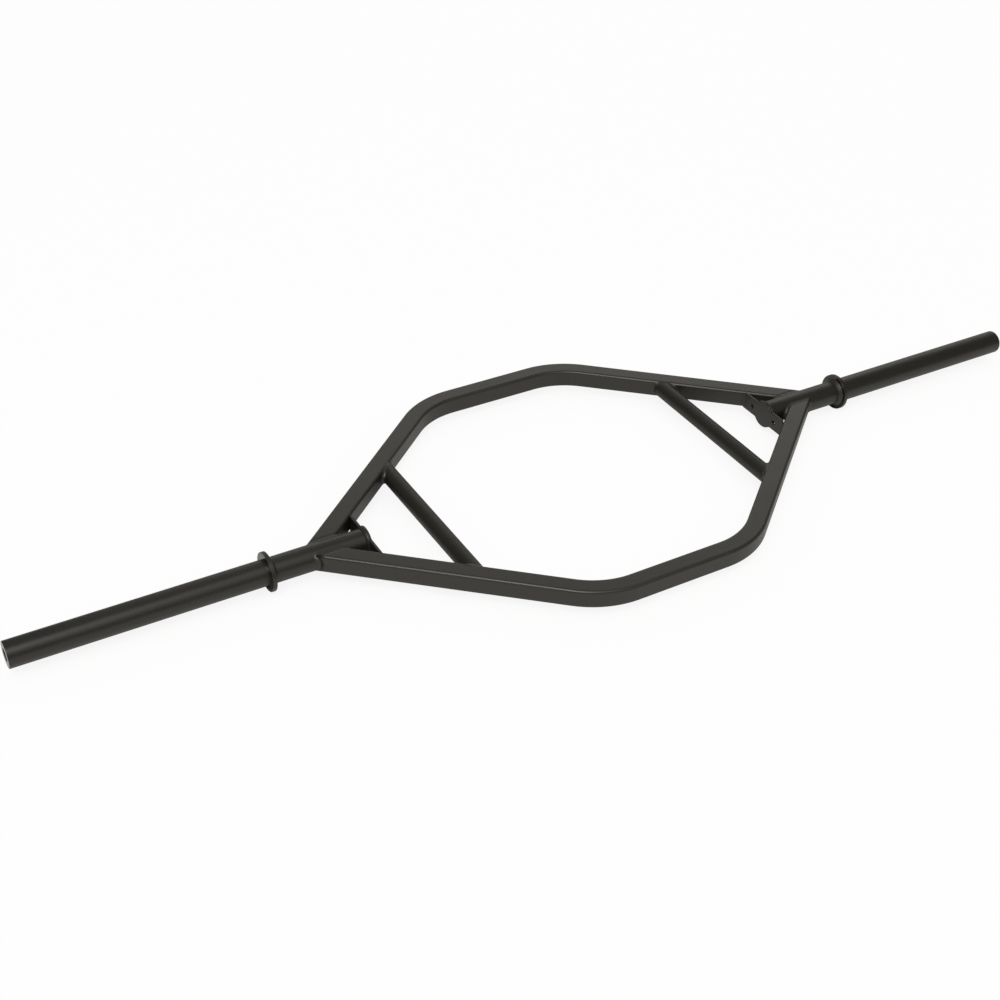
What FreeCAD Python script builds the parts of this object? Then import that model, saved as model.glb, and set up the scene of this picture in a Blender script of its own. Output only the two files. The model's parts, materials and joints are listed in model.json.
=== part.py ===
import FreeCAD, Part
import math
import os

Vector = FreeCAD.Vector

# Hexagon frame: two bent square tubes that meet on the sleeves
point_span = 1152.0          # between the two points of the hexagon, on the tube centrelines
flat_side = 324.0            # front and rear sides, from corner to corner
frame_depth = 700.0          # between the front and rear sides, on the tube centrelines
tube_side = 38.1
tube_wall = 3.0
tube_corner = 6.0            # outer corner radius of the square section
tube_inner_corner = 3.0
tube_bend = 168.0            # bend radius on the centreline

# Sleeves for the weight plates
sleeve_diameter = 50.0
sleeve_bore = 24.0
sleeve_edge = 1.5            # bevel of the outer end
loading_length = 470.5       # from the collar to the outer end

# Collars pressed on a seat of the sleeve
collar_offset = 88.0         # from the point of the hexagon to the collar's inboard face
collar_height = 13.0         # from the sleeve to the rim
collar_thickness = 8.0
collar_edge = 1.0            # bevel of the rim
seat_rise = 0.4              # height of the seat above the sleeve

# End plates inside the points of the hexagon
plate_inset = 107.5          # from the point of the hexagon to the plate's inner face
plate_thickness = 6.0
plate_lip = 4.0              # the round middle stands this far past the sleeve
plate_ear = 36.5             # height of the two ears
plate_hole = 9.0
plate_hole_spacing = 71.0
plate_root_gap = 0.5         # between the end of an ear and the frame tube, along the ear

# Handles
handle_span = 671.0          # between the two handle axes
handle_diameter = 35.0
handle_wall = 3.0

# Weld beads
bead_face = 8.0              # width of the bead's face round a tube end
bead_sink = 1.0              # how far a bead's edges run into the metal, before trimming
bead_rim = 1.2               # from the bead's highest edge to the top of the frame tube
collar_weld_leg = 6.0
plate_weld_leg = 4.5
ear_weld_leg = 3.5           # legs of the bead in the corner between an ear and the frame tube
ear_weld_margin = 4.0        # from the top of an ear to the end of its bead

cut_overrun = 5.0
flat_shares = (-1, -0.5, 0, 0.5, 1)   # places of the bead sections on each flat of the square tube
handle_sections = 32

# Directions and places that follow from these sizes
half_span = point_span / 2
half_flat = flat_side / 2
half_depth = frame_depth / 2
half_tube = tube_side / 2
tube_flat = half_tube - tube_corner
slant = math.atan2(half_depth, half_span - half_flat)
bend_tangent = tube_bend * math.tan(slant / 2)
mitre = half_tube / math.tan(slant)    # the tube runs this far past its point to reach the middle plane
slant_run = math.hypot(half_span - half_flat, half_depth) - bend_tangent
up = Vector(0, 0, 1)
axis_x = Vector(1, 0, 0)
axis_y = Vector(0, 1, 0)
along = Vector(-math.cos(slant), -math.sin(slant), 0)    # from the right point to the front
inward = Vector(-math.sin(slant), math.cos(slant), 0)    # square to that side, into the hexagon
right_point = Vector(half_span, 0, 0)
tube_start = right_point - along * mitre

sleeve_radius = sleeve_diameter / 2
bore_radius = sleeve_bore / 2
seat_radius = sleeve_radius + seat_rise
plate_inner = half_span - plate_inset
plate_outer = plate_inner + plate_thickness
collar_inner = half_span + collar_offset
collar_outer = collar_inner + collar_thickness
sleeve_end = collar_outer + loading_length
handle_x = handle_span / 2
handle_radius = handle_diameter / 2


def mirror_x(shape):
    return shape.mirror(Vector(0, 0, 0), axis_x)


def mirror_y(shape):
    return shape.mirror(Vector(0, 0, 0), axis_y)


def turned(profile):
    # Solid of revolution about the X axis, from points of place and radius
    points = [Vector(x, 0, radius) for x, radius in profile]
    face = Part.Face(Part.makePolygon(points + points[:1]))
    return face.revolve(Vector(0, 0, 0), axis_x, 360)


def rod(start, direction, radius, length):
    return Part.makeCylinder(radius, length, start, direction)


# Frame tubes

def rounded_square(side, corner):
    # Section of the frame tube at its right end, square to the slanted side
    half = side / 2
    flat = half - corner
    corner_middle = flat + corner * math.cos(math.pi / 4)
    edges = []
    for quarter in range(4):
        turn = quarter * math.pi / 2
        out = inward * math.cos(turn) + up * math.sin(turn)
        side_way = up * math.cos(turn) - inward * math.sin(turn)
        flat_start = tube_start + out * half - side_way * flat
        flat_end = tube_start + out * half + side_way * flat
        round_middle = tube_start + (out + side_way) * corner_middle
        round_end = tube_start + out * flat + side_way * half
        edges.append(Part.LineSegment(flat_start, flat_end).toShape())
        edges.append(Part.Arc(flat_end, round_middle, round_end).toShape())
    return Part.Face(Part.Wire(edges))


def bent_bar(section):
    # Front bar: slanted run, bend and half of the front side, then the mirror image of these.
    # Both ends are mitred on the middle plane.
    turn = -math.degrees(slant)
    straight_way = along * (mitre + slant_run)
    bend_centre = right_point + along * slant_run + inward * tube_bend
    bend_start = section.translated(straight_way)
    bend_end = bend_start.rotated(bend_centre, up, turn)
    straight = section.extrude(straight_way)
    bend = bend_start.revolve(bend_centre, up, turn)
    front = bend_end.extrude(axis_x * (bend_tangent - half_flat))
    half_bar = straight.fuse([bend, front]).cut(rear_half)
    return half_bar.fuse(mirror_x(half_bar)).removeSplitter()


def frame_tube():
    # The ends are coped to the sleeves
    hollow = front_bar.cut(bent_bar(rounded_square(tube_side - 2 * tube_wall, tube_inner_corner)))
    return hollow.cut([sleeve_rod, mirror_x(sleeve_rod)])


# Sleeves, collars and end plates of the right side

def sleeve():
    return turned([
        (plate_outer, bore_radius),
        (plate_outer, sleeve_radius),
        (collar_inner, sleeve_radius),
        (collar_inner, seat_radius),
        (collar_outer, seat_radius),
        (collar_outer, sleeve_radius),
        (sleeve_end - sleeve_edge, sleeve_radius),
        (sleeve_end, sleeve_radius - sleeve_edge),
        (sleeve_end, bore_radius),
    ])


def collar():
    rim = sleeve_radius + collar_height
    return turned([
        (collar_inner, seat_radius),
        (collar_inner, rim - collar_edge),
        (collar_inner + collar_edge, rim),
        (collar_outer - collar_edge, rim),
        (collar_outer, rim - collar_edge),
        (collar_outer, seat_radius),
    ])


def side_face_y(x):
    # Distance from the X axis to the inner face of a slanted side
    return (half_span - x) * math.tan(slant) - half_tube / math.cos(slant)


def ear_reach(x):
    return side_face_y(x) - plate_root_gap


def end_plate():
    # The ends of the ears are cut on the slant, to follow the frame tubes
    bottom = -plate_ear / 2
    corners = [
        Vector(plate_inner, -ear_reach(plate_inner), bottom),
        Vector(plate_outer, -ear_reach(plate_outer), bottom),
        Vector(plate_outer, ear_reach(plate_outer), bottom),
        Vector(plate_inner, ear_reach(plate_inner), bottom),
    ]
    ears = Part.Face(Part.makePolygon(corners + corners[:1])).extrude(up * plate_ear)
    disc = rod(Vector(plate_inner, 0, 0), axis_x, sleeve_radius + plate_lip, plate_thickness)
    plate = ears.fuse(disc).removeSplitter()
    drill_length = plate_thickness + 2 * cut_overrun
    for side in (-1, 1):
        start = Vector(plate_inner - cut_overrun, side * plate_hole_spacing / 2, 0)
        plate = plate.cut(rod(start, axis_x, plate_hole / 2, drill_length))
    return plate


# Handles

def handle():
    # Round tube between the slanted sides, cut to their inner faces
    reach = (half_span - handle_x) * math.tan(slant)
    start = Vector(handle_x, -reach, 0)
    tube = rod(start, axis_y, handle_radius, 2 * reach)
    tube = tube.cut(rod(start, axis_y, handle_radius - handle_wall, 2 * reach))
    return tube.cut([front_bar, rear_bar])


# Weld beads

def bead_section(joint, out, first_toe, second_toe):
    # Triangle from behind the joint to the two toes, with its face drawn out past each toe
    overlap = (first_toe - second_toe).normalize() * bead_sink
    root = joint - out * bead_sink
    corners = [root, first_toe + overlap, second_toe - overlap]
    return Part.makePolygon(corners + corners[:1])


def bead_ring(sections):
    return Part.makeLoft(sections, True, True, True)


def bead_leg(first_way, second_way):
    # Leg on each of two surfaces that gives the bead's face its width
    return bead_face / (2 * math.sin(first_way.getAngle(second_way) / 2))


def tube_stations():
    # Places round the square section, with the outward direction of each, as (across, up) pairs
    corner_middle = tube_flat + tube_corner * math.cos(math.pi / 4)
    for quarter in range(4):
        turn = quarter * math.pi / 2
        out_across, out_up = math.cos(turn), math.sin(turn)
        for share in flat_shares:
            flat = share * tube_flat
            place = (out_across * half_tube - out_up * flat, out_up * half_tube + out_across * flat)
            yield place, (out_across, out_up)
        corner_turn = turn + math.pi / 4
        corner_out = (math.cos(corner_turn), math.sin(corner_turn))
        place = (
            (out_across - out_up) * corner_middle,
            (out_up + out_across) * corner_middle,
        )
        yield place, corner_out


def sleeve_weld():
    # Bead where the front tube's end meets the right sleeve
    sections = []
    for (across, height), (out_across, out_up) in tube_stations():
        reach = math.sqrt(max(sleeve_radius ** 2 - height ** 2, 0))
        run = (across * math.cos(slant) + reach) / math.sin(slant)
        joint = right_point + inward * across + up * height + along * run
        tube_out = inward * out_across + up * out_up
        sleeve_out = Vector(0, joint.y, joint.z).normalize()
        sleeve_way = (tube_out - sleeve_out * tube_out.dot(sleeve_out)).normalize()
        leg = bead_leg(along, sleeve_way)
        on_tube = joint + along * leg
        toe = joint + sleeve_way * leg
        on_sleeve = Vector(toe.x, 0, 0) + Vector(0, toe.y, toe.z).normalize() * sleeve_radius
        sections.append(bead_section(joint, tube_out + sleeve_out, on_tube, on_sleeve))
    return bead_ring(sections).cut([front_bar, sleeve_rod])


def bar_half_width(height):
    # Half width of the frame tube at a height above its middle
    past_flat = min(max(abs(height) - tube_flat, 0), tube_corner)
    return tube_flat + math.sqrt(tube_corner ** 2 - past_flat ** 2)


def handle_weld():
    # Bead where the right handle meets the front tube
    top = half_tube - bead_rim
    sections = []
    for step in range(handle_sections):
        turn = 2 * math.pi * step / handle_sections
        handle_out = Vector(math.cos(turn), 0, math.sin(turn))
        surface = Vector(handle_x, 0, 0) + handle_out * handle_radius
        offset = bar_half_width(surface.z) - (surface - right_point).dot(inward)
        joint = surface + axis_y * (offset / math.cos(slant))
        tube_way = (handle_out - inward * handle_out.dot(inward)).normalize()
        leg = bead_leg(axis_y, tube_way)
        toe = joint + tube_way * leg
        toe.z = max(-top, min(top, toe.z))
        toe_offset = bar_half_width(toe.z) - (toe - right_point).dot(inward)
        on_tube = toe + inward * toe_offset
        on_handle = joint + axis_y * leg
        sections.append(bead_section(joint, handle_out + axis_y, on_tube, on_handle))
    handle_rod = rod(Vector(handle_x, -half_depth, 0), axis_y, handle_radius, frame_depth)
    layer = Part.makeBox(point_span, frame_depth, 2 * top, Vector(-half_span, -half_depth, -top))
    return bead_ring(sections).common(layer).cut([front_bar, handle_rod])


def collar_weld():
    # Ring in the corner between the sleeve and the collar's inboard face
    return turned([
        (collar_inner - collar_weld_leg, sleeve_radius),
        (collar_inner, sleeve_radius),
        (collar_inner, sleeve_radius + collar_weld_leg),
    ])


def plate_ring_weld():
    # Ring in the corner between the sleeve and the end plate
    return turned([
        (plate_outer, sleeve_radius),
        (plate_outer + plate_weld_leg, sleeve_radius),
        (plate_outer, sleeve_radius + plate_weld_leg),
    ])


def ear_weld():
    # Bead in the corner between the front ear of the right plate and the frame tube
    height = min(plate_ear, tube_side) - 2 * ear_weld_margin
    bottom = -height / 2
    toe_x = plate_inner - ear_weld_leg * math.cos(slant)
    corners = [
        Vector(plate_inner, ear_weld_leg - ear_reach(plate_inner), bottom),
        Vector(toe_x, -side_face_y(toe_x) - bead_sink, bottom),
        Vector(plate_inner, -side_face_y(plate_inner) - bead_sink, bottom),
    ]
    bead = Part.Face(Part.makePolygon(corners + corners[:1])).extrude(up * height)
    return bead.cut(front_bar)


# Solid forms that the pieces are cut to
rear_half = Part.makeBox(2 * sleeve_end, frame_depth, tube_side, Vector(-sleeve_end, 0, -half_tube))
front_bar = bent_bar(rounded_square(tube_side, tube_corner))
rear_bar = mirror_y(front_bar)
sleeve_rod = rod(Vector(plate_outer, 0, 0), axis_x, sleeve_radius, sleeve_end - plate_outer)

pieces = {}
pieces["front_frame_tube"] = frame_tube()
pieces["rear_frame_tube"] = mirror_y(pieces["front_frame_tube"])

for name, make in (
    ("sleeve", sleeve),
    ("collar", collar),
    ("collar_weld", collar_weld),
    ("end_plate", end_plate),
    ("plate_ring_weld", plate_ring_weld),
    ("handle", handle),
):
    pieces["right_" + name] = make()
    pieces["left_" + name] = mirror_x(pieces["right_" + name])

for name, make in (
    ("sleeve", sleeve_weld),
    ("handle", handle_weld),
    ("plate", ear_weld),
):
    front = make()
    rear = mirror_y(front)
    pieces["right_" + name + "_front_weld"] = front
    pieces["right_" + name + "_rear_weld"] = rear
    pieces["left_" + name + "_front_weld"] = mirror_x(front)
    pieces["left_" + name + "_rear_weld"] = mirror_x(rear)

os.makedirs("parts", exist_ok=True)
for node, shape in pieces.items():
    shape.exportStep("parts/" + node + ".step")
    print(node, "solids", len(shape.Solids), "valid", shape.isValid(), "volume", round(shape.Volume))
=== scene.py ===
import json
import math

import bmesh
import bpy
import numpy as np
from mathutils import Matrix, Vector


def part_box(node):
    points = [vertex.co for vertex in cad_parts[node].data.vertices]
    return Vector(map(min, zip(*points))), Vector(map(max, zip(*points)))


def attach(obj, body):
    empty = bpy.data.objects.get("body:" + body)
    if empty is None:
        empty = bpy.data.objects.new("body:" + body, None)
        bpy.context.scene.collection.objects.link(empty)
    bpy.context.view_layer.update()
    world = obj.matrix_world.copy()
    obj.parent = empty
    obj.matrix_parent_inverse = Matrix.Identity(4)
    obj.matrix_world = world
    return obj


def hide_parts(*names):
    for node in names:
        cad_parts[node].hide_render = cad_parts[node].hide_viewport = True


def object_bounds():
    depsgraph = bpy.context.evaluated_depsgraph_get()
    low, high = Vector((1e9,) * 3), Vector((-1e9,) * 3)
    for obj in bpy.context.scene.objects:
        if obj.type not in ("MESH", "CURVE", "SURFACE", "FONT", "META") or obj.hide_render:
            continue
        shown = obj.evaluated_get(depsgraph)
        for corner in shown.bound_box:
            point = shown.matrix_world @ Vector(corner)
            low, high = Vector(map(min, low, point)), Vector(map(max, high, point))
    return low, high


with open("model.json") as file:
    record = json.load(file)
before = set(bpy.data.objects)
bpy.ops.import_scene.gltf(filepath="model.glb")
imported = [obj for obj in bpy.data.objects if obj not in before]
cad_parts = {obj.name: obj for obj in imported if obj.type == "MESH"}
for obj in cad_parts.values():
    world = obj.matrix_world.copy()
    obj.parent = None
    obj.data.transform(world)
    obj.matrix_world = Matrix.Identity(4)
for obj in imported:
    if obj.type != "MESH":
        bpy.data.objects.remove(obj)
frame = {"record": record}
cadLow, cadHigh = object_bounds()
mountSizes = {mount["name"]: mount["dims"] for mount in frame["record"]["mounts"]}
mm = 0.001


# shader maths: wraps a socket, so that plain expressions add Math nodes

class Wire:
    def __init__(self, tree, socket):
        self.tree = tree
        self.socket = socket

    # any node: its settings are set first, then its sockets get values or links
    def node(self, kind, settings, sockets, output=0):
        made = self.tree.nodes.new(kind)
        for name, value in settings.items():
            setattr(made, name, value)
        for name, value in sockets.items():
            if isinstance(value, Wire):
                self.tree.links.new(value.socket, made.inputs[name])
            else:
                made.inputs[name].default_value = value
        return Wire(self.tree, made.outputs[output]) if made.outputs else made

    def mathNode(self, operation, first, second):
        return self.node("ShaderNodeMath", {"operation": operation}, {0: first, 1: second})

    def __add__(self, other):
        return self.mathNode("ADD", self, other)

    def __radd__(self, other):
        return self.mathNode("ADD", other, self)

    def __sub__(self, other):
        return self.mathNode("SUBTRACT", self, other)

    def __rsub__(self, other):
        return self.mathNode("SUBTRACT", other, self)

    def __mul__(self, other):
        return self.mathNode("MULTIPLY", self, other)

    def __rmul__(self, other):
        return self.mathNode("MULTIPLY", other, self)

    def larger(self, other):
        return self.mathNode("MAXIMUM", self, other)

    # smooth step from one pair of values to another
    def eased(self, low, high, toLow, toHigh):
        return self.node("ShaderNodeMapRange", {"interpolation_type": "SMOOTHSTEP"}, {
            "Value": self, "From Min": low, "From Max": high, "To Min": toLow, "To Max": toHigh})

    # the Mix node's colour sockets are 6 and 7, and its colour comes out of 2
    def mixColours(self, first, second):
        return self.node("ShaderNodeMix", {"data_type": "RGBA"}, {0: self, 6: first, 7: second}, 2)


def emptyTree(owner):
    owner.use_nodes = True
    owner.node_tree.nodes.clear()
    return owner.node_tree


# satin black powder coat: fine grain and orange peel in the bump, soft clouds in colour and gloss

noiseMiddle = 0.5  # what a noise gives on average


def powderCoat(name, look):
    material = bpy.data.materials.new(name)
    tree = emptyTree(material)
    surface = tree.nodes.new("ShaderNodeTexCoord").outputs
    coords = Wire(tree, surface["Object"])

    def noise(size, detail):
        sockets = {"Vector": coords, "Scale": 1 / size, "Detail": detail, "Roughness": look["noiseFalloff"]}
        return coords.node("ShaderNodeTexNoise", {"noise_dimensions": "3D"}, sockets)

    grain = noise(look["grainSize"], look["grainDetail"])
    peel = noise(look["peelSize"], look["peelDetail"])
    cloud = noise(look["cloudSize"], look["cloudDetail"])
    colour = cloud.mixColours((*look["darkTone"], 1), (*look["lightTone"], 1))
    roughness = look["roughness"] + look["glossDrift"] * (cloud - noiseMiddle)
    roughness = roughness + look["grainGloss"] * (grain - noiseMiddle)
    if look["cutGloss"]:
        # faces cut square to the X axis are smoother under the coat than rolled ones
        facing = Wire(tree, surface["Normal"])
        cut = facing.node("ShaderNodeVectorMath", {"operation": "DOT_PRODUCT"},
                          {0: facing, 1: (1, 0, 0)}, "Value")
        cutShare = (cut * cut).eased(look["cutStart"], look["cutFull"], 0, 1)
        roughness = roughness - look["cutGloss"] * cutShare
    height = grain * look["grainDepth"] + peel * look["peelDepth"]
    normal = coords.node("ShaderNodeBump", {}, {"Height": height, "Strength": 1.0, "Distance": 1.0})
    shader = coords.node("ShaderNodeBsdfPrincipled", {}, {
        "Base Color": colour, "Roughness": roughness, "Normal": normal,
        "Metallic": 0.0, "IOR": look["ior"]})
    coords.node("ShaderNodeOutputMaterial", {}, {"Surface": shader})
    return material


coatLook = {
    "darkTone": (0.0169, 0.0140, 0.0100), "lightTone": (0.0234, 0.0195, 0.0140), "ior": 1.6,
    "roughness": 0.42, "glossDrift": 0.10, "grainGloss": 0.10,
    "cutGloss": 0, "cutStart": 0.8, "cutFull": 0.98,  # start and full effect, as the normal's X squared
    "grainSize": 0.9 * mm, "grainDetail": 2.0, "grainDepth": 0.022 * mm,
    "peelSize": 4.0 * mm, "peelDetail": 1.0, "peelDepth": 0.05 * mm,
    "cloudSize": 70 * mm, "cloudDetail": 3.0, "noiseFalloff": 0.55,
}
frameCoat = powderCoat("frame coat", coatLook)
sleeveCoat = powderCoat("sleeve coat", {
    **coatLook, "darkTone": (0.0112, 0.0088, 0.0058), "lightTone": (0.0157, 0.0124, 0.0083),
    "roughness": 0.40, "cutGloss": 0.25, "peelDepth": 0.04 * mm})
handleCoat = powderCoat("handle coat", {
    **coatLook, "darkTone": (0.0132, 0.0109, 0.0078), "lightTone": (0.0184, 0.0153, 0.0110),
    "roughness": 0.48, "ior": 1.48, "grainDepth": 0.026 * mm})
plateCoat = powderCoat("plate coat", {
    **coatLook, "darkTone": (0.0120, 0.0102, 0.0078), "lightTone": (0.0168, 0.0143, 0.0109),
    "roughness": 0.46})
weldCoat = powderCoat("weld coat", {**coatLook, "roughness": 0.45, "peelSize": 2.5 * mm})
print("coats ready")


# grids of points become meshes

noTriangles = np.zeros((0, 3), int)
sides = {"left": -1, "right": 1}
ends = {"front": -1, "rear": 1}


def signedVolume(points, triangles):
    # sum of the tetrahedra from the origin to each triangle, below zero where faces point inwards
    a, b, c = (points[triangles[:, k]] for k in range(3))
    return np.einsum("ij,ij->i", a, np.cross(b, c)).sum() / 6


def gridFaces(rows, columns, loopRows, loopColumns):
    # quads between neighbours of a grid, wrapped round where it loops
    i, j = np.meshgrid(np.arange(rows if loopRows else rows - 1),
                       np.arange(columns if loopColumns else columns - 1), indexing="ij")
    i, j = i.ravel(), j.ravel()
    nextI, nextJ = (i + 1) % rows, (j + 1) % columns
    corners = [i * columns + j, i * columns + nextJ, nextI * columns + nextJ, nextI * columns + j]
    return np.stack(corners, -1)


def capFan(ring, centre):
    # triangles from one ring of vertices to a middle vertex
    return np.stack([ring, np.roll(ring, -1), np.full_like(ring, centre)], -1)


def putPiece(name, points, quads, triangles, node, coat):
    corners = np.concatenate([quads[:, [0, 1, 2]], quads[:, [0, 2, 3]], triangles])
    if signedVolume(points, corners) < 0:
        quads, triangles = quads[:, ::-1], triangles[:, ::-1]
    mesh = bpy.data.meshes.new(name)
    mesh.from_pydata(points.tolist(), [], quads.tolist() + triangles.tolist())
    mesh.polygons.foreach_set("use_smooth", np.ones(len(mesh.polygons), bool))
    mesh.materials.append(coat)
    mesh.update()
    piece = bpy.data.objects.new(name, mesh)
    bpy.context.scene.collection.objects.link(piece)
    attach(piece, "root")
    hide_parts(node)
    return piece


def loopedPiece(name, grid, node, coat):
    # a grid that closes both ways, as a ring does
    rows, columns = grid.shape[:2]
    quads = gridFaces(rows, columns, True, True)
    return putPiece(name, grid.reshape(-1, 3), quads, noTriangles, node, coat)


def cappedPiece(name, grid, node, coat):
    # a profile carried along a path, with a fan over each end
    rows, columns = grid.shape[:2]
    count = rows * columns
    points = np.concatenate([grid.reshape(-1, 3), grid[0].mean(0)[None], grid[-1].mean(0)[None]])
    ring = np.arange(columns)
    triangles = np.concatenate([capFan(ring[::-1], count), capFan(ring + count - columns, count + 1)])
    return putPiece(name, points, gridFaces(rows, columns, False, True), triangles, node, coat)


def mirrored(grid, signX, signY):
    return grid * np.array([signX, signY, 1.0])


def unit(v):
    return v / np.linalg.norm(v, axis=-1, keepdims=True)


def dot(a, b):
    return (a * b).sum(-1, keepdims=True)


# frame tubes: a rounded square carried along straight runs and bends, its ends coped to the sleeves

frameTube = {
    "pointSpan": 1.152, "flatSide": 0.324, "bendRadius": 0.168, "cornerRadius": 6 * mm,
    "cornerSteps": 10, "bendSteps": 40, "runSteps": 24, "flatHold": 0.5 * mm, "sink": 1.5 * mm,
}
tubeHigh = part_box("rear_frame_tube")[1]
halfTube = tubeHigh.z
halfDepth = tubeHigh.y - halfTube
halfSpan = frameTube["pointSpan"] / 2
halfFlat = frameTube["flatSide"] / 2
tubeFlat = halfTube - frameTube["cornerRadius"]
slant = math.atan2(halfDepth, halfSpan - halfFlat)
bendTangent = frameTube["bendRadius"] * math.tan(slant / 2)
slantRun = math.hypot(halfSpan - halfFlat, halfDepth) - bendTangent
quarterLength = 2 * tubeFlat + frameTube["cornerRadius"] * math.pi / 2  # a flat and a corner of the section
sleeveRadius = mountSizes["right_sleeve"]["r_mm"] * mm

# directions on the rear right side: along it from the right point, and square to it into the hexagon
along = np.array([-math.cos(slant), math.sin(slant), 0])
inward = np.array([-math.sin(slant), -math.cos(slant), 0])
up = np.array([0, 0, 1.0])
rightPoint = np.array([halfSpan, 0, 0])


def squareSection(distance):
    # place and outward direction, as (inward, up) pairs, at a distance round the rounded square:
    # a flat, then a quarter circle, turned by as many quarters as the distance holds
    quarter = np.floor(distance / quarterLength)
    rest = distance - quarter * quarterLength
    turn = np.maximum(rest - 2 * tubeFlat, 0) / frameTube["cornerRadius"]
    side = np.minimum(rest, 2 * tubeFlat) - tubeFlat
    outU, outV = np.cos(turn), np.sin(turn)
    placeU = np.where(turn > 0, tubeFlat + frameTube["cornerRadius"] * outU, halfTube)
    placeV = side + frameTube["cornerRadius"] * outV
    c, s = np.cos(quarter * math.pi / 2), np.sin(quarter * math.pi / 2)
    place = np.stack([placeU * c - placeV * s, placeU * s + placeV * c], -1)
    out = np.stack([outU * c - outV * s, outU * s + outV * c], -1)
    return place, out


def squareStops():
    # distances round the section: the flats' ends, a holding line beside each, and steps over the corners
    hold, flatLength = frameTube["flatHold"], 2 * tubeFlat
    flat = np.array([0, hold, tubeFlat, flatLength - hold])
    corner = np.linspace(flatLength, quarterLength, frameTube["cornerSteps"], endpoint=False)
    quarter = np.concatenate([flat, corner])
    return (quarter[None] + quarterLength * np.arange(4)[:, None]).ravel()


def copeRun(place):
    # distance along the side from the point to the sleeve's surface, for each place of the section
    reach = np.sqrt(sleeveRadius ** 2 - place[:, 1] ** 2)
    return (reach + place[:, 0] * math.cos(slant)) / math.sin(slant)


def rearHalf():
    # right half of the rear tube: slanted run, turn about the bend's centre, half of the rear side
    place, _ = squareSection(squareStops())
    offset = inward * place[:, :1] + up * place[:, 1:]
    start = copeRun(place) - frameTube["sink"]
    share = np.linspace(0, 1, frameTube["runSteps"])[:, None]
    run = start + (slantRun - start) * share
    straight = rightPoint + offset[None] + run[..., None] * along
    centre = rightPoint + along * slantRun + inward * frameTube["bendRadius"]
    turn = np.linspace(0, slant, frameTube["bendSteps"] + 1)[1:, None]
    arm = straight[-1] - centre
    bend = centre + np.stack([
        arm[:, 0] * np.cos(turn) - arm[:, 1] * np.sin(turn),
        arm[:, 0] * np.sin(turn) + arm[:, 1] * np.cos(turn),
        np.broadcast_to(arm[:, 2], (len(turn), len(arm)))], -1)
    toMiddle = np.linspace(1, 0, frameTube["runSteps"] // 2)[1:, None]
    rear = np.repeat(bend[-1:], len(toMiddle), 0)
    rear[..., 0] *= toMiddle
    return np.concatenate([straight, bend, rear])


half = rearHalf()
wholeTube = np.concatenate([half, mirrored(half[-2::-1], -1, 1)])
for end, sign in ends.items():
    cappedPiece(end + "FrameTube", mirrored(wholeTube, 1, sign), end + "_frame_tube", frameCoat)
print("frame tubes carried round the hexagon")


# turned pieces: an outline of places and radii, spun about the X axis

def spun(outline, steps):
    # at each turn, a point keeps its x and goes out by its radius
    turn = np.linspace(0, 2 * math.pi, steps, endpoint=False)[:, None]
    x, radius = outline[:, 0], outline[:, 1]
    return np.stack(np.broadcast_arrays(x, radius * np.cos(turn), radius * np.sin(turn)), -1)


def roundedOutline(corners, radii, steps, hold):
    # closed outline of straight edges whose corners are quarter arcs, with a holding point beside each arc
    corners = np.asarray(corners, float)
    before = unit(np.roll(corners, 1, 0) - corners)[:, None]
    after = unit(np.roll(corners, -1, 0) - corners)[:, None]
    radii = np.asarray(radii, float)[:, None, None]
    turn = np.linspace(0, math.pi / 2, steps)[None, :, None]
    arc = corners[:, None] + radii * (before * (1 - np.sin(turn)) + after * (1 - np.cos(turn)))
    return np.concatenate([arc[:, :1] + before * hold, arc, arc[:, -1:] + after * hold], 1).reshape(-1, 2)


sleeve = {"bore": 12.0 * mm, "edge": 1.4 * mm, "boreEdge": 0.8 * mm, "innerEdge": 0.1 * mm,
          "steps": 192, "arcSteps": 7, "hold": 0.4 * mm}
sleeveLow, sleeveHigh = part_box("right_sleeve")
sleeveCorners = [(sleeveLow.x, sleeve["bore"]), (sleeveLow.x, sleeveRadius),
                 (sleeveHigh.x, sleeveRadius), (sleeveHigh.x, sleeve["bore"])]
sleeveEdges = [sleeve["innerEdge"], sleeve["innerEdge"], sleeve["edge"], sleeve["boreEdge"]]
sleeveOutline = roundedOutline(sleeveCorners, sleeveEdges, sleeve["arcSteps"], sleeve["hold"])

collar = {"edge": 1.0 * mm, "seatEdge": 0.1 * mm, "seatSink": 1 * mm,
          "steps": 192, "arcSteps": 7, "hold": 0.3 * mm}
collarLow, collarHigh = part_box("right_collar")
collarSeat = sleeveRadius - collar["seatSink"]
collarCorners = [(collarLow.x, collarSeat), (collarLow.x, collarHigh.z),
                 (collarHigh.x, collarHigh.z), (collarHigh.x, collarSeat)]
collarEdges = [collar["seatEdge"], collar["edge"], collar["edge"], collar["seatEdge"]]
collarOutline = roundedOutline(collarCorners, collarEdges, collar["arcSteps"], collar["hold"])

turned = {"Sleeve": spun(sleeveOutline, sleeve["steps"]), "Collar": spun(collarOutline, collar["steps"])}
for side, sign in sides.items():
    for kind, grid in turned.items():
        loopedPiece(side + kind, mirrored(grid, sign, 1), f"{side}_{kind.lower()}", sleeveCoat)
print("sleeves and collars turned")


# handles: round tubes between the slanted sides, each line of the surface run to the inner faces

handle = {"steps": 96, "rows": 40, "sink": 1.2 * mm}
handleLow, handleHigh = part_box("right_handle")
handleRadius = handleHigh.z
handleX = (handleLow.x + handleHigh.x) / 2


def halfWidth(height):
    # half width of the frame tube at a height, less over its rounded corners
    past = np.clip(np.abs(height) - tubeFlat, 0, frameTube["cornerRadius"])
    return tubeFlat + np.sqrt(frameTube["cornerRadius"] ** 2 - past ** 2)


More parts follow.
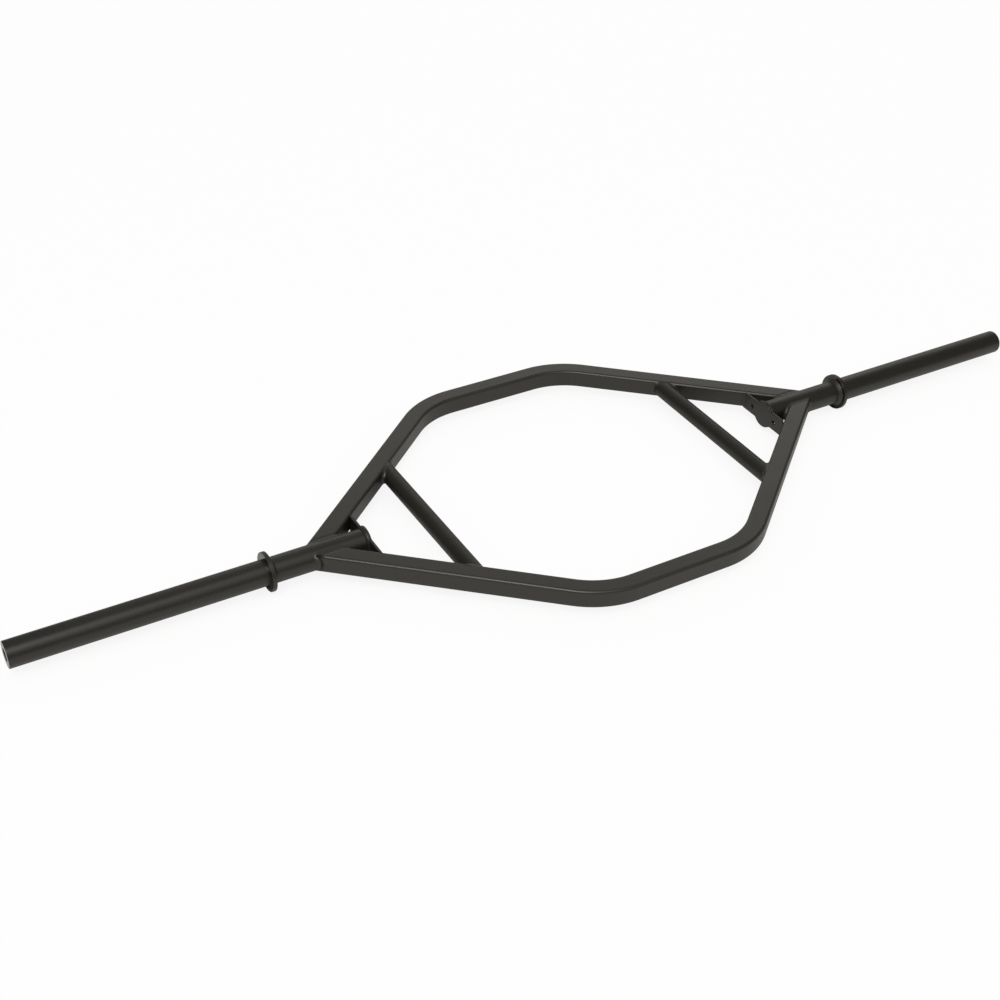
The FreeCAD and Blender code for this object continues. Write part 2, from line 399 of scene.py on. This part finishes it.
def handleReach(turn):
    # distance from the middle to the rear tube's inner face along the handle's line at that turn
    x, z = handleX + handleRadius * np.cos(turn), handleRadius * np.sin(turn)
    return ((halfSpan - x) * math.sin(slant) - halfWidth(z)) / math.cos(slant)


def handleTube():
    # a circle in X and Z, and in Y a share of the reach at each turn, from -1 to 1
    turn = np.linspace(0, 2 * math.pi, handle["steps"], endpoint=False)
    reach = handleReach(turn) + handle["sink"]
    share = np.linspace(-1, 1, handle["rows"])[:, None]
    x, z = handleX + handleRadius * np.cos(turn), handleRadius * np.sin(turn)
    return np.stack(np.broadcast_arrays(x, reach * share, z), -1)


rightHandle = handleTube()
for side, sign in sides.items():
    cappedPiece(side + "Handle", mirrored(rightHandle, sign, 1), side + "_handle", handleCoat)
print("handles cut to the frame")


# weld beads: a face between two toes, crowned and rippled as laid, or dressed to a smooth hollow

bead = {"face": 8 * mm, "sink": 1.5 * mm, "columns": 21, "overlap": 0.12, "steepPeak": 2.6,
        "ripple": 0.25 * mm, "rippleMiddle": 0.5, "pitch": 3.4 * mm, "lag": 0.5,
        "wander": 0.3 * mm, "toeStep": 3,  # the second toe strays as the first does a third of the way back
        "swings": ((3, 1.0, 0.0), (7, 0.6, 1.3), (13, 0.5, 0.4))}  # waves in the length, share, start
roughShare = 4  # points of a rough loop for each row of a bead


def beadLegs(firstWay, secondWay):
    # leg that gives the bead's face its width between two surfaces that open at an angle
    opening = np.arccos(np.clip(dot(firstWay, secondWay), -1, 1))
    return bead["face"] / (2 * np.sin(opening / 2))


def beadGrid(joint, out, firstToe, secondToe, closed, shape):
    # v runs from toe to toe. As laid, the face is the chord plus the crown times 4v(1-v), or times the
    # steep peak and sqrt(v)(1-v) where the first toe is steep, plus ripples, the humps of a cosine along
    # the joint. Dressed, it is the parabola that leaves both toes towards the corner.
    crown, steep, lively, dressed = (np.broadcast_to(shape[k], len(joint))[:, None, None]
                                     for k in ("crown", "steep", "lively", "dressed"))
    corner = shape.get("corner", joint)[:, None]
    v = np.linspace(-bead["overlap"], 1 + bead["overlap"], bead["columns"])[None, :, None]
    step = np.linalg.norm(np.roll(joint, -1, 0) - joint, axis=1)
    length = np.concatenate([[0], np.cumsum(step)[:-1]])
    total = step.sum() if closed else length[-1]
    count = max(round(total / bead["pitch"]), 1)
    phase = (length / total * count)[:, None, None]
    inside = np.clip(v, 0, 1)
    even = 4 * inside * (1 - inside)
    arch = even + steep * (bead["steepPeak"] * np.sqrt(inside) * (1 - inside) - even)
    slow = 2 * math.pi * length / total
    swing = sum(part * np.sin(waves * slow + start) for waves, part, start in bead["swings"])
    stray = bead["wander"] * swing[:, None] * (1 - dressed[:, 0])
    toeWay = unit(firstToe - secondToe)
    first = (firstToe + toeWay * stray)[:, None]
    second = (secondToe + toeWay * np.roll(stray, len(stray) // bead["toeStep"], 0))[:, None]
    hump = np.abs(np.cos(math.pi * (phase + bead["lag"] * (2 * v - 1) ** 2))) - bead["rippleMiddle"]
    height = crown * arch + bead["ripple"] * lively * np.sqrt(even) * hump
    laid = first + (second - first) * inside + unit(out)[:, None] * height
    hollow = first * (1 - inside) ** 2 + corner * (2 * inside * (1 - inside)) + second * inside ** 2
    face = laid + (hollow - laid) * dressed + (second - first) * (v - inside)
    root = joint - unit(out) * bead["sink"]
    return np.concatenate([face, root[:, None]], 1)


def evenLoop(rough, count):
    # parameter values that divide a closed loop, sampled as points, into equal lengths
    step = np.linalg.norm(np.roll(rough, -1, 0) - rough, axis=1)
    length = np.concatenate([[0], np.cumsum(step)])
    stops = np.linspace(0, length[-1], count, endpoint=False)
    return np.interp(stops, length, np.linspace(0, 1, len(length)))


# sleeve beads: round each frame tube's end, drawn in at the tube's two outer corners, with part of the
# valleys above and below filled

sleeveBead = {"rows": 560, "crown": 1.4 * mm, "tubeShare": 0.7, "valleyShare": 0.4, "topGrowth": -0.4,
              "cornerDraw": 0.6, "outerEase": 0.5}


def sleeveJoint(distance):
    # where the frame tube's lines end on the sleeve, and the tube's outward direction there
    place, out = squareSection(distance)
    joint = rightPoint + inward * place[:, :1] + up * place[:, 1:] + along * copeRun(place)[:, None]
    return joint, inward * out[:, :1] + up * out[:, 1:]


def sleeveWeld():
    # toes a leg away from the joint, along the tube and round the sleeve
    rows, roundLength = sleeveBead["rows"], 4 * quarterLength
    rough, _ = sleeveJoint(np.linspace(0, roundLength, roughShare * rows, endpoint=False))
    joint, tubeOut = sleeveJoint(evenLoop(rough, rows) * roundLength)
    across = np.array([0, 1, 1])
    sleeveOut = unit(joint * across)
    sleeveWay = unit(tubeOut - sleeveOut * dot(tubeOut, sleeveOut))
    top = np.abs(tubeOut[:, 2:])  # dressed smooth on the tube's top and bottom, left as laid on its sides
    outer = np.maximum(-dot(tubeOut, inward), 0)
    outerCorner = 2 * top * outer  # 1 in the middle of the corner, 0 on the flats
    leg = beadLegs(np.broadcast_to(along, sleeveWay.shape), sleeveWay)
    leg = leg * (1 - sleeveBead["cornerDraw"] * outerCorner)
    valley = (sleeveRadius - joint[:, 1:2]) / math.sin(slant) * (1 - outerCorner)
    onTube = joint + along * (sleeveBead["valleyShare"] * valley + sleeveBead["tubeShare"] * leg)
    onSleeve = joint + sleeveWay * leg * (1 + sleeveBead["topGrowth"] * top)
    onSleeve = onSleeve * np.array([1, 0, 0]) + unit(onSleeve * across) * sleeveRadius
    # corner: where the sleeve's tangent at the toe meets the tube's surface
    toeOut = unit(onSleeve * across)
    backWay = joint - onSleeve
    toeWay = unit(backWay - toeOut * dot(backWay, toeOut))
    corner = onSleeve + toeWay * (dot(tubeOut, backWay) / dot(tubeOut, toeWay))
    laid = 1 - top[:, 0]
    eased = laid * (1 - sleeveBead["outerEase"] * outer[:, 0])  # lower where sleeve and tube open wide
    shape = {"crown": sleeveBead["crown"] * eased, "steep": laid, "lively": eased,
             "dressed": top[:, 0], "corner": corner}
    return beadGrid(joint, tubeOut + sleeveOut, onTube, onSleeve, True, shape)


# handle beads: round each handle's end, with the toe on the frame tube kept below the tube's top

handleBead = {"rows": 360, "rim": 0.15 * mm, "crown": 0, "steep": 0, "lively": 0.3, "dressed": 0.4}


def handleJoint(turn):
    # end of the handle's line at a turn, and the handle's outward direction there
    spoke = np.stack([np.cos(turn), 0 * turn, np.sin(turn)], -1)
    joint = spoke * handleRadius + np.stack([0 * turn + handleX, handleReach(turn), 0 * turn], -1)
    return joint, spoke


def handleWeld():
    # toes a leg away from the joint, back along the handle and out over the tube's inner face
    rows = handleBead["rows"]
    rough, _ = handleJoint(np.linspace(0, 2 * math.pi, roughShare * rows, endpoint=False))
    joint, handleOut = handleJoint(evenLoop(rough, rows) * 2 * math.pi)
    handleWay = np.broadcast_to(np.array([0, -1.0, 0]), joint.shape)
    tubeWay = unit(handleOut - inward * dot(handleOut, inward))
    leg = beadLegs(handleWay, tubeWay)
    toe = joint + tubeWay * leg
    highest = halfTube - handleBead["rim"]
    toe[:, 2] = np.clip(toe[:, 2], -highest, highest)
    onTube = toe + inward * (halfWidth(toe[:, 2:]) - dot(toe - rightPoint, inward))
    return beadGrid(joint, handleOut + handleWay, onTube, joint + handleWay * leg, True, handleBead)


tubeBeads = {"Sleeve": sleeveWeld(), "Handle": handleWeld()}
for side, signX in sides.items():
    for end, signY in ends.items():
        for kind, grid in tubeBeads.items():
            loopedPiece(f"{side}{kind}{end.title()}Weld", mirrored(grid, signX, signY),
                        f"{side}_{kind.lower()}_{end}_weld", weldCoat)
print("beads laid round the sleeves and handles")


# ring beads on the sleeves, beside the collars and the end plates

ringLook = {"rows": 420, "collarCrown": 0.14 * mm, "plateCrown": 0.6 * mm, "lively": 0.12}
plateLow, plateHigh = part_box("right_end_plate")


def ringBead(node, x, wayX, crown):
    # circle on the sleeve at x; its toes are a leg away, up the collar or plate and along the sleeve
    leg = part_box(node)[1].z - sleeveRadius
    turn = np.linspace(0, 2 * math.pi, ringLook["rows"], endpoint=False)
    spoke = np.stack([0 * turn, np.cos(turn), np.sin(turn)], -1)
    side = np.array([wayX, 0, 0])
    joint = spoke * sleeveRadius + np.array([x, 0, 0])
    shape = {"crown": crown, "steep": 0, "lively": ringLook["lively"], "dressed": 0}
    return beadGrid(joint, spoke + side, joint + spoke * leg, joint + side * leg, True, shape)


collarWeld = ringBead("right_collar_weld", collarLow.x, -1, ringLook["collarCrown"])
plateWeld = ringBead("right_plate_ring_weld", plateHigh.x, 1, ringLook["plateCrown"])
for side, sign in sides.items():
    loopedPiece(side + "CollarWeld", mirrored(collarWeld, sign, 1), side + "_collar_weld", weldCoat)
    loopedPiece(side + "PlateRingWeld", mirrored(plateWeld, sign, 1), side + "_plate_ring_weld", weldCoat)
print("ring beads laid beside the collars and plates")


# end plates: rings of points about each hole, out to the edge of the ear and the round middle

plateHoles = mountSizes["right_plate_holes"]
endPlate = {"hole": plateHoles["hole_r_mm"] * mm, "holeY": plateHoles["spacing_x_mm"] / 2 * mm,
            "earHalf": 18.25 * mm, "edge": 1.2 * mm, "hold": 0.3 * mm, "rootGap": 0.5 * mm,
            "slantStart": 46 * mm, "arcSteps": 5, "turns": 180,
            "turnDigits": 9, "middleBand": 1e-7, "joinWithin": 1e-6}
plateDisc = plateHigh.z


def sideFaceY(x, z):
    # inner face of the rear right side at a place, further out over its rounded corners
    return (halfSpan - x) * math.tan(slant) - halfWidth(z) / math.cos(slant)


def earReach(x):
    # end of the ear, a root gap short of the frame tube
    return sideFaceY(x, 0) - endPlate["rootGap"]


plateReach = earReach(plateHigh.x)


def plateEdge(turn, inset):
    # distance from the hole's middle to the plate's edge, drawn in by an inset; the middle line has none
    c, s = np.cos(turn), np.sin(turn)
    tiny = 1e-9
    high, far, disc = endPlate["earHalf"] - inset, plateReach - inset, plateDisc - inset
    toTop = high / np.maximum(np.abs(s), tiny)
    toEnd = (far - endPlate["holeY"]) / np.maximum(c, tiny)
    toMiddle = endPlate["holeY"] / np.maximum(-c, tiny)
    inEar = np.minimum(np.minimum(toTop, toEnd), toMiddle)
    root = (endPlate["holeY"] * c) ** 2 - endPlate["holeY"] ** 2 + disc ** 2
    toDisc = np.where(root > 0, -endPlate["holeY"] * c + np.sqrt(np.maximum(root, 0)), 0)
    return np.maximum(inEar, np.minimum(toDisc, toMiddle))


def plateHalf():
    # closed outline across the plate, from the hole's wall over one face to the edge and back over
    # the other, at each turn about the hole
    edge, hold = endPlate["edge"], endPlate["hold"]
    bend = np.linspace(0, math.pi / 2, endPlate["arcSteps"])
    inset = np.concatenate([[edge + hold], edge * (1 - np.sin(bend))])
    depth = np.concatenate([[0], edge * (1 - np.cos(bend))])
    insets = np.concatenate([inset, inset[::-1]])
    places = np.concatenate([plateLow.x + depth, plateHigh.x - depth[::-1]])
    notch = math.sqrt(plateDisc ** 2 - endPlate["earHalf"] ** 2)
    marks = np.array([[plateReach, endPlate["earHalf"]], [notch, endPlate["earHalf"]], [0, plateDisc]])
    angles = np.arctan2(marks[:, 1], marks[:, 0] - endPlate["holeY"])
    even = np.linspace(0, 2 * math.pi, endPlate["turns"], endpoint=False)
    every = np.concatenate([even, angles, 2 * math.pi - angles])
    turn = np.unique(every.round(endPlate["turnDigits"]))[:, None]
    outer = plateEdge(turn, insets)
    inner = np.broadcast_to(endPlate["hole"] + insets, outer.shape)
    distance = np.concatenate([inner[:, ::-1], outer], 1)
    place = np.broadcast_to(np.concatenate([places[::-1], places]), distance.shape)
    y = endPlate["holeY"] + distance * np.cos(turn)
    # the ends of the ears are drawn out on the slant, to follow the frame tube
    drawn = np.clip((y - endPlate["slantStart"]) / (plateReach - endPlate["slantStart"]), 0, 1)
    y = y + drawn * (earReach(place) - plateReach)
    return np.stack([place, y, distance * np.sin(turn)], -1)


def plateMesh(name, sign, node):
    # both halves, without the wall between them, joined along the middle line
    grid = plateHalf()
    rows, columns = grid.shape[:2]
    quads = gridFaces(rows, columns, True, True)
    points = grid.reshape(-1, 3)
    wall = (np.abs(points[quads][..., 1]) < endPlate["middleBand"]).all(1)
    quads = quads[~wall]
    bothPoints = np.concatenate([mirrored(points, sign, 1), mirrored(points, sign, -1)])
    bothQuads = np.concatenate([quads, quads[:, ::-1] + len(points)])
    piece = putPiece(name, bothPoints, bothQuads, noTriangles, node, plateCoat)
    joined = bmesh.new()
    joined.from_mesh(piece.data)
    bmesh.ops.remove_doubles(joined, verts=joined.verts, dist=endPlate["joinWithin"])
    joined.to_mesh(piece.data)
    joined.free()


for side, sign in sides.items():
    plateMesh(side + "EndPlate", sign, side + "_end_plate")


# ear beads: up the corner between the end of each ear and the frame tube

earBead = {"rows": 120, "leg": 3.5 * mm, "margin": 4 * mm, "taper": 4 * mm,
           "crown": 0.7 * mm, "lively": 0.6}


def earWeld():
    # a line up the tube's face at the plate; its toes are a leg away on the ear and on the tube,
    # and the crown fades towards both ends as a square root
    z = np.linspace(-1, 1, earBead["rows"]) * (halfTube - earBead["margin"])
    zero = np.zeros_like(z)
    fade = np.sqrt(np.clip((z[-1] - np.abs(z)) / earBead["taper"], 0, 1))
    toeX = plateLow.x - earBead["leg"] * math.cos(slant)
    joint = np.stack([zero + plateLow.x, sideFaceY(plateLow.x, z), z], -1)
    onEar = np.stack([zero + plateLow.x, zero + earReach(plateLow.x) - earBead["leg"], z], -1)
    onTube = np.stack([zero + toeX, sideFaceY(toeX, z), z], -1)
    out = np.broadcast_to(inward - np.array([1.0, 0, 0]), joint.shape)
    shape = {"crown": earBead["crown"] * fade, "steep": 0, "lively": earBead["lively"] * fade, "dressed": 0}
    return beadGrid(joint, out, onEar, onTube, False, shape)


earGrid = earWeld()
for side, signX in sides.items():
    for end, signY in ends.items():
        cappedPiece(f"{side}Plate{end.title()}Weld", mirrored(earGrid, signX, signY),
                    f"{side}_plate_{end}_weld", weldCoat)
print("end plates cut and welded in")


# floor and studio

floor = {"half": 25.0, "tone": (0.90, 0.87, 0.81), "shadeTone": (0.30, 0.29, 0.27), "whiteShare": 0.97,
         "contactShare": 0.12, "mirrorShare": 0.20, "poolInner": 1.5, "poolOuter": 3.2, "poolEnd": 0.15,
         "shadeReach": 115 * mm, "shadeSamples": 8, "shadeLow": 0.2, "shadeHigh": 0.5}
white = (1, 1, 1, 1)


def floorCoat():
    # pale matt floor, darker close under the bar; white to the camera but for a faint contact shadow,
    # and in reflections a share of white that fades away from the bar
    material = bpy.data.materials.new("studio floor")
    tree = emptyTree(material)
    path = tree.nodes.new("ShaderNodeLightPath").outputs
    place = Wire(tree, tree.nodes.new("ShaderNodeTexCoord").outputs["Object"])
    away = place.node("ShaderNodeVectorMath", {"operation": "LENGTH"}, {0: place}, "Value")
    pool = away.eased(floor["poolInner"], floor["poolOuter"], 1, floor["poolEnd"])
    freeSky = place.node("ShaderNodeAmbientOcclusion", {"samples": floor["shadeSamples"]},
                         {"Distance": floor["shadeReach"]}, "AO")
    clear = freeSky.eased(floor["shadeLow"], floor["shadeHigh"], 0, 1)
    direct = Wire(tree, path["Is Camera Ray"]).larger(Wire(tree, path["Is Transmission Ray"]))
    toCamera = direct * (floor["whiteShare"] * (1 - floor["contactShare"] * (1 - freeSky)))
    seen = toCamera.larger(Wire(tree, path["Is Glossy Ray"]) * pool * clear * floor["mirrorShare"])
    tone = clear.mixColours((*floor["shadeTone"], 1), (*floor["tone"], 1))
    matt = seen.node("ShaderNodeBsdfDiffuse", {}, {"Color": tone})
    glow = seen.node("ShaderNodeEmission", {}, {"Color": white, "Strength": 1.0})
    both = seen.node("ShaderNodeMixShader", {}, {0: seen, 1: matt, 2: glow})
    seen.node("ShaderNodeOutputMaterial", {}, {"Surface": both})
    return material


def layFloor():
    # a square at the height of the bar's lowest point
    corners = np.array([[-1, -1], [1, -1], [1, 1], [-1, 1]]) * floor["half"]
    points = np.column_stack([corners, np.full(4, cadLow.z)])
    mesh = bpy.data.meshes.new("floor")
    mesh.from_pydata(points.tolist(), [], [(0, 1, 2, 3)])
    mesh.materials.append(floorCoat())
    ground = bpy.data.objects.new("floor", mesh)
    bpy.context.scene.collection.objects.link(ground)


studio = {"fill": 0.15}


def lightWorld():
    # white to the camera, a dim even fill otherwise
    world = bpy.data.worlds.new("studio")
    bpy.context.scene.world = world
    tree = emptyTree(world)
    path = tree.nodes.new("ShaderNodeLightPath").outputs
    seen = Wire(tree, path["Is Camera Ray"]).larger(Wire(tree, path["Is Transmission Ray"]))
    fill = seen.node("ShaderNodeBackground", {}, {"Color": white, "Strength": studio["fill"]})
    backdrop = seen.node("ShaderNodeBackground", {}, {"Color": white, "Strength": 1.0})
    both = seen.node("ShaderNodeMixShader", {}, {0: seen, 1: fill, 2: backdrop})
    seen.node("ShaderNodeOutputWorld", {}, {"Surface": both})


coolTint, warmTint, backTint = (0.97, 0.985, 1.0), (1.0, 0.965, 0.91), (1.0, 0.97, 0.91)
softBoxes = {
    "key box": {"way": (-0.435, -0.395, 0.81), "distance": 8.0, "width": 3.2, "height": 3.2,
                "radiance": 10.6, "tint": coolTint},
    "top box": {"way": (0.10, -0.56, 0.83), "distance": 3.5, "width": 2.8, "height": 3.6,
                "radiance": 0.60, "tint": warmTint},
    "rear top box": {"way": (0.10, 0.46, 0.88), "distance": 3.5, "width": 2.4, "height": 1.6,
                     "radiance": 0.30, "tint": warmTint},
    "right back box": {"way": (0.72, 0.38, 0.58), "distance": 4.0, "width": 1.8, "height": 1.8,
                       "radiance": 0.35, "tint": warmTint},
    "back box": {"way": (0.47, 0.78, 0.42), "distance": 5.0, "width": 4.6, "height": 2.4,
                 "radiance": 0.89, "tint": backTint},
}


def hangBox(name, box):
    # rectangular lamp that faces the origin; its power is radiance times area times pi
    way = Vector(box["way"]).normalized()
    lamp = bpy.data.lights.new(name, "AREA")
    lamp.shape = "RECTANGLE"
    lamp.color = box["tint"]
    lamp.size, lamp.size_y = box["width"], box["height"]
    lamp.energy = box["radiance"] * box["width"] * box["height"] * math.pi
    holder = bpy.data.objects.new(name, lamp)
    bpy.context.scene.collection.objects.link(holder)
    holder.location = way * box["distance"]
    holder.rotation_mode = "QUATERNION"
    holder.rotation_quaternion = way.to_track_quat("Z", "Y")
    holder.visible_camera = False


layFloor()
lightWorld()
for name, box in softBoxes.items():
    hangBox(name, box)
print("floor and lamps set")


# camera: looks at the hexagon from the left front, a little turned; angles in degrees, lens in pixels

shot = {"azimuth": -31.610, "elevation": 36.232, "roll": 2.322, "distance": 3.00337,
        "across": -0.152947, "lift": -0.060041, "focalPixels": 1501.245, "imagePixels": 1000,
        "sensor": 36, "near": 0.05, "far": 200}


def setCamera():
    # back points out of the picture to the camera; across and lift span the picture before its roll
    azimuth, elevation, roll = (math.radians(shot[k]) for k in ("azimuth", "elevation", "roll"))
    back = Vector((math.sin(azimuth) * math.cos(elevation), -math.cos(azimuth) * math.cos(elevation),
                   math.sin(elevation)))
    across = Vector((0, 0, 1)).cross(back).normalized()
    lift = back.cross(across)
    lens = bpy.data.cameras.new("camera")
    lens.sensor_width = shot["sensor"]
    lens.lens = lens.sensor_width * shot["focalPixels"] / shot["imagePixels"]
    lens.clip_start, lens.clip_end = shot["near"], shot["far"]
    camera = bpy.data.objects.new("camera", lens)
    bpy.context.scene.collection.objects.link(camera)
    turnedAcross = across * math.cos(roll) + lift * math.sin(roll)
    turnedLift = lift * math.cos(roll) - across * math.sin(roll)
    pose = Matrix((turnedAcross, turnedLift, back)).transposed().to_4x4()
    pose.translation = back * shot["distance"] + across * shot["across"] + lift * shot["lift"]
    camera.matrix_world = pose
    bpy.context.scene.camera = camera


setCamera()
bpy.context.scene.view_settings.view_transform = "Standard"
